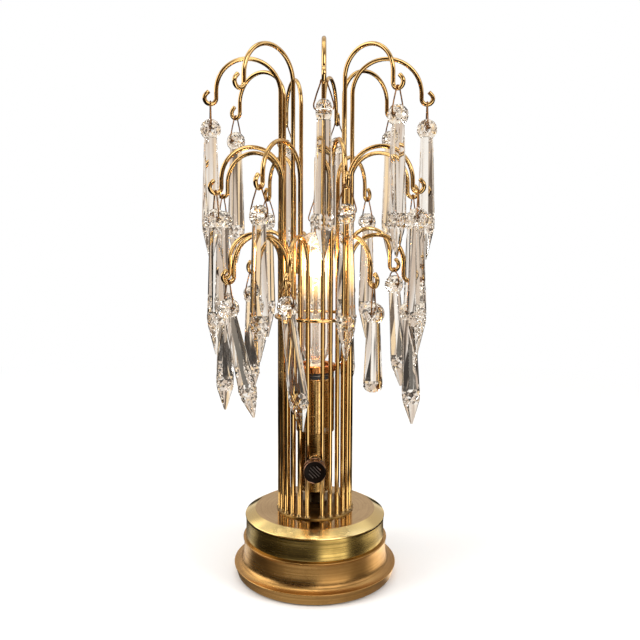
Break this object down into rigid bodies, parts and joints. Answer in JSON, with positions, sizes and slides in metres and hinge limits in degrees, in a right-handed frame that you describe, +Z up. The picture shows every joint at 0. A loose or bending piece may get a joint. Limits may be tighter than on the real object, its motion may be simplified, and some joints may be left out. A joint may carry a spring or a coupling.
{
  "type": "crystal prism table lamp",
  "caption": "Table lamp with a stepped round brass base, a ring of arched rods hung with cut crystal prisms in three tiers, a rotary switch knob and a clear tubular bulb.",
  "frame": {"origin": "middle of the base's underside", "axes": "+Z up; -Y is the front, where the switch knob is; +X is to the viewer's right"},
  "size_m": [0.1642, 0.1594, 0.3713],
  "materials": {
    "base_foot": "rosy satin brass, worn",
    "base_drum": "darkened brass, streaked",
    "top_plate": "satin brass with a bright chamfer",
    "cast_iron": "as cast",
    "felt": "dark felt",
    "black_plastic": "moulded",
    "steel": "plain",
    "brass_wire": "polished, with near-black streaks",
    "socket_brass": "satin",
    "copper_rim": "copper-toned, satin",
    "porcelain": "glazed white insulator",
    "knob_plastic": "dark moulded",
    "aluminium": "plain",
    "bulb_glass": "clear",
    "filament": "glowing wire",
    "pin_wire": "brown lacquered wire",
    "crystal": "clear cut crystal"
  },
  "bodies": {
    "stand": {"base_foot": "base_foot", "base_drum": "base_drum", "top_plate": "top_plate", "base_weight": "cast_iron", "felt_pad": "felt", "cord_bush": "black_plastic", "threaded_stem": "steel", "rod_disc": "brass_wire", "stem_nuts": "steel", "column": "socket_brass", "socket_shell": "socket_brass", "socket_liner": "black_plastic", "rim_ring": "copper_rim", "socket_core": "porcelain", "screw_shell": "socket_brass", "centre_contact": "socket_brass", "switch_body": "black_plastic", "switch_collar": "socket_brass", "rods_top": "brass_wire", "rods_middle": "brass_wire", "rods_lower": "brass_wire", "hoop_ring": "brass_wire", "pins_top": "pin_wire", "pins_middle": "pin_wire", "pins_lower": "pin_wire"},
    "knob": {"switch_shaft": "steel", "knob_rim": "copper_rim", "knob_face": "knob_plastic"},
    "bulb": {"bulb_cap": "aluminium", "bulb_glass": "bulb_glass", "filament": "filament"},
    "prism_top_1": {"prism_top_1": "crystal"},
    "prism_middle_1": {"prism_middle_1": "crystal"},
    "prism_lower_1": {"prism_lower_1": "crystal"},
    "prism_top_2": {"prism_top_2": "crystal"},
    "prism_middle_2": {"prism_middle_2": "crystal"},
    "prism_lower_2": {"prism_lower_2": "crystal"},
    "prism_top_3": {"prism_top_3": "crystal"},
    "prism_middle_3": {"prism_middle_3": "crystal"},
    "prism_lower_3": {"prism_lower_3": "crystal"},
    "prism_top_4": {"prism_top_4": "crystal"},
    "prism_middle_4": {"prism_middle_4": "crystal"},
    "prism_lower_4": {"prism_lower_4": "crystal"},
    "prism_top_5": {"prism_top_5": "crystal"},
    "prism_middle_5": {"prism_middle_5": "crystal"},
    "prism_lower_5": {"prism_lower_5": "crystal"},
    "prism_top_6": {"prism_top_6": "crystal"},
    "prism_middle_6": {"prism_middle_6": "crystal"},
    "prism_lower_6": {"prism_lower_6": "crystal"},
    "prism_top_7": {"prism_top_7": "crystal"},
    "prism_middle_7": {"prism_middle_7": "crystal"},
    "prism_lower_7": {"prism_lower_7": "crystal"},
    "prism_top_8": {"prism_top_8": "crystal"},
    "prism_middle_8": {"prism_middle_8": "crystal"},
    "prism_lower_8": {"prism_lower_8": "crystal"},
    "prism_middle_9": {"prism_middle_9": "crystal"},
    "prism_lower_9": {"prism_lower_9": "crystal"}
  },
  "joints": [
    {"name": "knob_turn", "type": "hinge", "parent": "stand", "child": "knob", "pos_m": [0, -0.029, 0.0842], "axis": [0, -1, 0], "continuous": true},
    {"name": "bulb_out", "type": "slide", "parent": "stand", "child": "bulb", "axis": [0, 0, 1], "range_m": [0, 0.03]},
    {"name": "prism_top_1_swing", "type": "hinge", "parent": "stand", "child": "prism_top_1", "pos_m": [0.00506, -0.07232, 0.321], "axis": [-0.9976, -0.0698, 0], "range_deg": [-18, 60]},
    {"name": "prism_middle_1_swing", "type": "hinge", "parent": "stand", "child": "prism_middle_1", "pos_m": [0.01933, -0.06988, 0.258], "axis": [-0.9638, -0.2666, 0], "range_deg": [-18, 60]},
    {"name": "prism_lower_1_swing", "type": "hinge", "parent": "stand", "child": "prism_lower_1", "pos_m": [0.03739, -0.0556, 0.195], "axis": [-0.2769, -0.9609, 0], "range_deg": [-18, 60]},
    {"name": "prism_top_2_swing", "type": "hinge", "parent": "stand", "child": "prism_top_2", "pos_m": [0.05276, -0.04524, 0.322], "axis": [-0.651, -0.7591, 0], "range_deg": [-18, 60]},
    {"name": "prism_middle_2_swing", "type": "hinge", "parent": "stand", "child": "prism_middle_2", "pos_m": [0.06776, -0.03551, 0.256], "axis": [-0.2361, -0.9717, 0], "range_deg": [-18, 60]},
    {"name": "prism_lower_2_swing", "type": "hinge", "parent": "stand", "child": "prism_lower_2", "pos_m": [0.0645, -0.01812, 0.1915], "axis": [-0.2705, -0.9627, 0], "range_deg": [-20, 58]},
    {"name": "prism_top_3_swing", "type": "hinge", "parent": "stand", "child": "prism_top_3", "pos_m": [0.07747, -0.00234, 0.318], "axis": [-0.0302, -0.9995, 0], "range_deg": [-18, 60]},
    {"name": "prism_middle_3_swing", "type": "hinge", "parent": "stand", "child": "prism_middle_3", "pos_m": [0.07013, 0.01392, 0.254], "axis": [0.1948, -0.9809, 0], "range_deg": [-18, 60]},
    {"name": "prism_lower_3_swing", "type": "hinge", "parent": "stand", "child": "prism_lower_3", "pos_m": [0.05871, 0.03016, 0.2065], "axis": [0.457, -0.8895, 0], "range_deg": [-23, 55]},
    {"name": "prism_top_4_swing", "type": "hinge", "parent": "stand", "child": "prism_top_4", "pos_m": [0.05619, 0.04258, 0.315], "axis": [0.604, -0.797, 0], "range_deg": [-18, 60]},
    {"name": "prism_middle_4_swing", "type": "hinge", "parent": "stand", "child": "prism_middle_4", "pos_m": [0.03975, 0.05701, 0.253], "axis": [0.5752, -0.818, 0], "range_deg": [-18, 60]},
    {"name": "prism_lower_4_swing", "type": "hinge", "parent": "stand", "child": "prism_lower_4", "pos_m": [0.02501, 0.06216, 0.196], "axis": [0.9277, -0.3734, 0], "range_deg": [-18, 60]},
    {"name": "prism_top_5_swing", "type": "hinge", "parent": "stand", "child": "prism_top_5", "pos_m": [0.01626, 0.07065, 0.313], "axis": [0.9745, -0.2243, 0], "range_deg": [-18, 60]},
    {"name": "prism_middle_5_swing", "type": "hinge", "parent": "stand", "child": "prism_middle_5", "pos_m": [0, 0.0725, 0.253], "axis": [1, 0, 0], "range_deg": [-18, 60]},
    {"name": "prism_lower_5_swing", "type": "hinge", "parent": "stand", "child": "prism_lower_5", "pos_m": [-0.01503, 0.06529, 0.196], "axis": [0.9745, 0.2243, 0], "range_deg": [-18, 60]},
    {"name": "prism_top_6_swing", "type": "hinge", "parent": "stand", "child": "prism_top_6", "pos_m": [-0.02471, 0.06816, 0.311], "axis": [0.9402, 0.3408, 0], "range_deg": [-11, 60]},
    {"name": "prism_middle_6_swing", "type": "hinge", "parent": "stand", "child": "prism_middle_6", "pos_m": [-0.03828, 0.0592, 0.253], "axis": [0.8398, 0.5429, 0], "range_deg": [-18, 60]},
    {"name": "prism_lower_6_swing", "type": "hinge", "parent": "stand", "child": "prism_lower_6", "pos_m": [-0.04967, 0.04496, 0.197], "axis": [0.6711, 0.7413, 0], "range_deg": [-18, 60]},
    {"name": "prism_top_7_swing", "type": "hinge", "parent": "stand", "child": "prism_top_7", "pos_m": [-0.06031, 0.03651, 0.313], "axis": [0.5179, 0.8554, 0], "range_deg": [-18, 60]},
    {"name": "prism_middle_7_swing", "type": "hinge", "parent": "stand", "child": "prism_middle_7", "pos_m": [-0.06866, 0.02328, 0.254], "axis": [0.3211, 0.947, 0], "range_deg": [-18, 60]},
    {"name": "prism_lower_7_swing", "type": "hinge", "parent": "stand", "child": "prism_lower_7", "pos_m": [-0.06498, 0.00144, 0.196], "axis": [0.0221, 0.9998, 0], "range_deg": [-18, 60]},
    {"name": "prism_top_8_swing", "type": "hinge", "parent": "stand", "child": "prism_top_8", "pos_m": [-0.07197, -0.0149, 0.316], "axis": [-0.2027, 0.9792, 0], "range_deg": [-18, 60]},
    {"name": "prism_middle_8_swing", "type": "hinge", "parent": "stand", "child": "prism_middle_8", "pos_m": [-0.06653, -0.03124, 0.255], "axis": [-0.425, 0.9052, 0], "range_deg": [-18, 60]},
    {"name": "prism_lower_8_swing", "type": "hinge", "parent": "stand", "child": "prism_lower_8", "pos_m": [-0.05726, -0.04027, 0.196], "axis": [-0.5752, 0.818, 0], "range_deg": [-4, 74]},
    {"name": "prism_middle_9_swing", "type": "hinge", "parent": "stand", "child": "prism_middle_9", "pos_m": [-0.03469, -0.06818, 0.257], "axis": [-0.8913, 0.4534, 0], "range_deg": [-18, 60]},
    {"name": "prism_lower_9_swing", "type": "hinge", "parent": "stand", "child": "prism_lower_9", "pos_m": [-0.01734, -0.06472, 0.2], "axis": [-0.6964, 0.6964, -0.1736], "range_deg": [-18, 60]}
  ]
}
